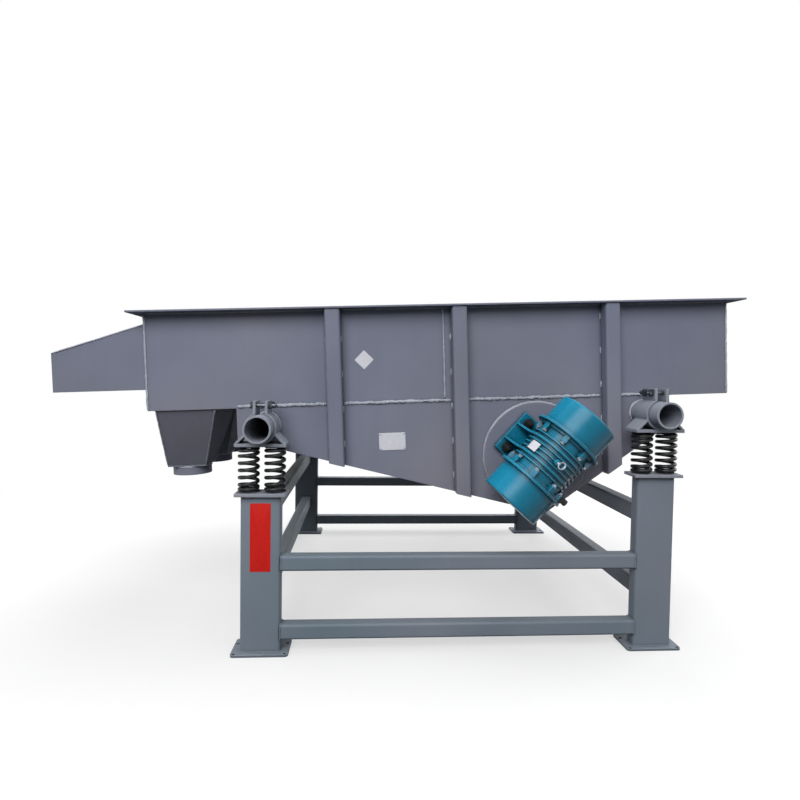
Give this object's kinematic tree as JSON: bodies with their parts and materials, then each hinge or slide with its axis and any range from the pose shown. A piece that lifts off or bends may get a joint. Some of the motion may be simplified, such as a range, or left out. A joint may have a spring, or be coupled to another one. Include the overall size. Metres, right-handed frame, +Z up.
{
  "type": "vibrating screen",
  "caption": "Linear vibrating screen: a tilted open-topped steel box with mesh deck, discharge chute and fines funnels, on coil springs over a tube base, shaken by side motors.",
  "frame": {"origin": "on the floor under the middle of the whole object's box", "axes": "+X along the machine towards the feed end, +Y to the rear side, +Z up"},
  "size_m": [2.3646, 1.818, 1.2068],
  "materials": {
    "frame_paint": "grey satin machine paint",
    "box_paint": "grey satin machine paint",
    "spring_steel": "black dipped spring steel",
    "motor_enamel": "teal blue gloss enamel",
    "mesh_steel": "bare woven wire"
  },
  "bodies": {
    "base_frame": {"leg_front_left": "frame_paint", "leg_front_right": "frame_paint", "leg_rear_left": "frame_paint", "leg_rear_right": "frame_paint", "foot_plates": "frame_paint", "leg_caps": "frame_paint", "front_rails": "frame_paint", "rear_rails": "frame_paint", "discharge_beams": "frame_paint", "feed_beams": "frame_paint", "springs_front_left": "spring_steel", "springs_front_right": "spring_steel", "springs_rear_left": "spring_steel", "springs_rear_right": "spring_steel"},
    "screen_box": {"front_side_wall": "box_paint", "rear_side_wall": "box_paint", "front_lower_plate": "box_paint", "rear_lower_plate": "box_paint", "feed_end_wall": "box_paint", "discharge_end_strips": "box_paint", "flange_sides": "box_paint", "flange_ends": "box_paint", "front_ribs": "box_paint", "rear_ribs": "box_paint", "bottom_pan": "box_paint", "outlet_sill": "box_paint", "deck_tubes": "box_paint", "deck_bars": "box_paint", "screen_mesh": "mesh_steel", "chute_floor": "box_paint", "chute_roof": "box_paint", "chute_sides": "box_paint", "outlet_funnels": "box_paint", "outlet_collars": "box_paint", "discharge_tube": "box_paint", "feed_tube": "box_paint", "front_saddles": "box_paint", "rear_saddles": "box_paint", "motor_beam": "box_paint", "motor_seats": "box_paint", "motor_front": "motor_enamel", "motor_rear": "motor_enamel", "motor_covers_front": "motor_enamel", "motor_covers_rear": "motor_enamel", "motor_glands": "spring_steel"}
  },
  "joints": [
    {"name": "throw", "type": "slide", "parent": "base_frame", "child": "screen_box", "axis": [-0.7373, 0, 0.6756], "range_m": [-0.004, 0.004], "stiffness_N_per_m": 230000, "springref_m": 0.01942, "deforming": ["springs_front_left", "springs_front_right", "springs_rear_left", "springs_rear_right"]}
  ]
}
